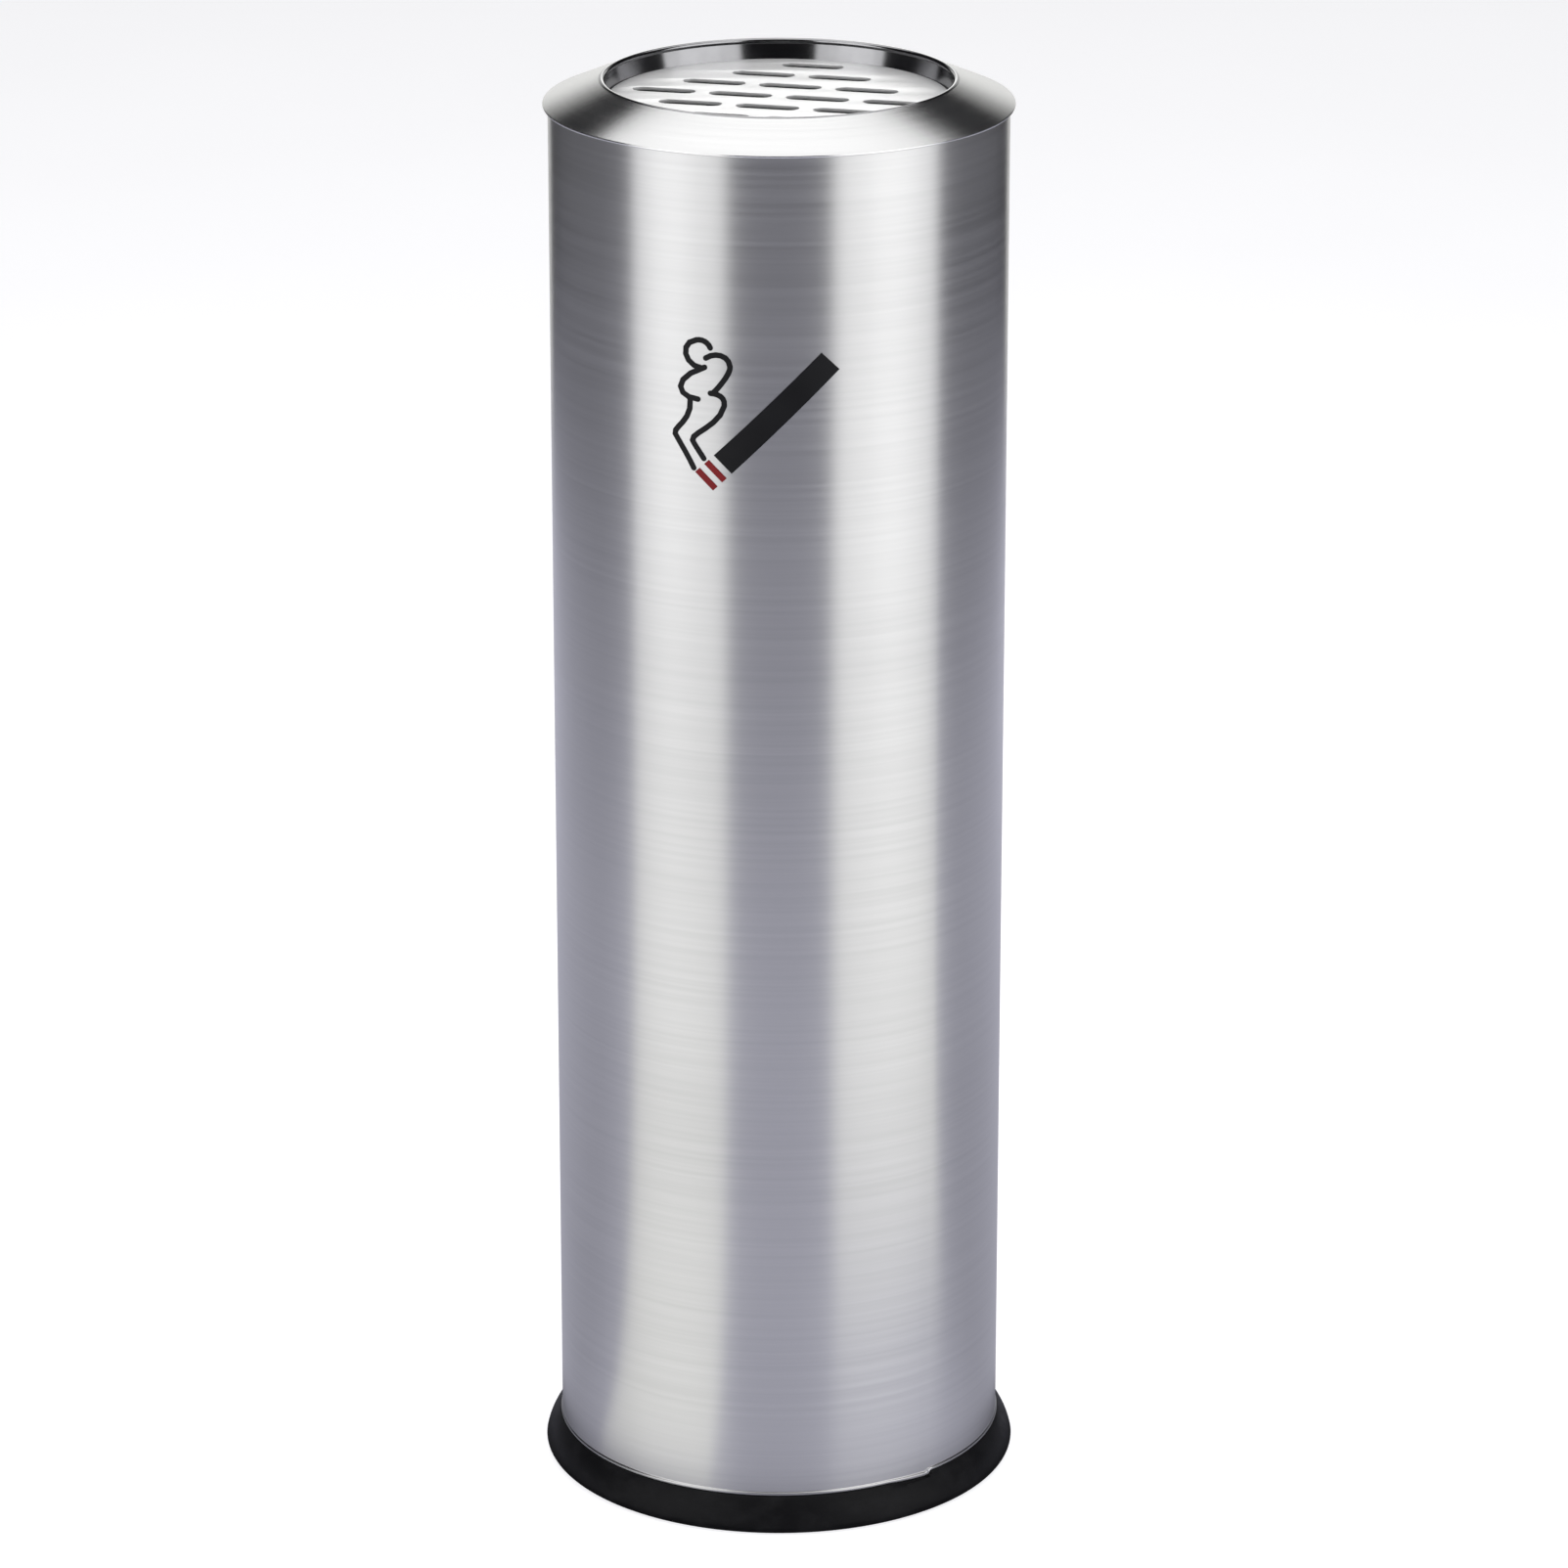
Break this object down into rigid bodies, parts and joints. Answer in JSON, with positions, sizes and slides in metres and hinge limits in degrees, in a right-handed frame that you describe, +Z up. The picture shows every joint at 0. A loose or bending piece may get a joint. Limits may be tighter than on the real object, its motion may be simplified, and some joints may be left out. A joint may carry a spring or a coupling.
{
  "type": "ashtray bin",
  "caption": "Tall free-standing ashtray bin: brushed steel cylinder on a black base ring, lift-off conical lid with a slotted grate, and a liner bucket with a bail.",
  "frame": {"origin": "on the floor, under the middle of the bin", "axes": "+Z up along the body's axis, -Y out of the front, where the pictogram is, +X to the right seen from the front"},
  "size_m": [0.204, 0.204, 0.61],
  "materials": {
    "brushed_stainless": "brushed round the body",
    "spun_stainless": "spun satin",
    "polished_stainless": "polished",
    "pressed_stainless": "fine matt rolled sheet",
    "black_rubber": "moulded, semi-matt",
    "galvanised_steel": "hot-dip galvanised, spangled",
    "zinc_plated_steel": "bright zinc plated",
    "black_film": "cut vinyl film",
    "red_film": "cut vinyl film"
  },
  "bodies": {
    "housing": {"body_shell": "brushed_stainless", "top_hoop": "spun_stainless", "base_ring": "black_rubber", "base_plate": "galvanised_steel", "base_screws": "zinc_plated_steel", "pictogram_bar": "black_film", "pictogram_smoke": "black_film", "pictogram_ember": "red_film"},
    "bucket": {"bucket_wall": "galvanised_steel", "bucket_bottom": "galvanised_steel", "bucket_foot": "galvanised_steel", "rim_wire": "zinc_plated_steel", "bail_ear_left": "galvanised_steel", "bail_ear_right": "galvanised_steel", "ear_rivets": "zinc_plated_steel"},
    "bail": {"bail_wire": "zinc_plated_steel"},
    "lid": {"lid_cone": "spun_stainless", "lid_collar": "polished_stainless", "lid_spigot": "spun_stainless"},
    "grate": {"grate": "pressed_stainless"}
  },
  "joints": [
    {"name": "bucket_lift", "type": "slide", "parent": "housing", "child": "bucket", "axis": [0, 0, 1], "range_m": [0, 0.6]},
    {"name": "bail_swing", "type": "hinge", "parent": "bucket", "child": "bail", "pos_m": [0, 0, 0.495], "axis": [1, 0, 0], "range_deg": [0, 180]},
    {"name": "lid_lift", "type": "slide", "parent": "bucket", "child": "lid", "axis": [0, 0, 1], "range_m": [0, 0.15]},
    {"name": "grate_lift", "type": "slide", "parent": "lid", "child": "grate", "axis": [0, 0, 1], "range_m": [0, 0.05]}
  ]
}
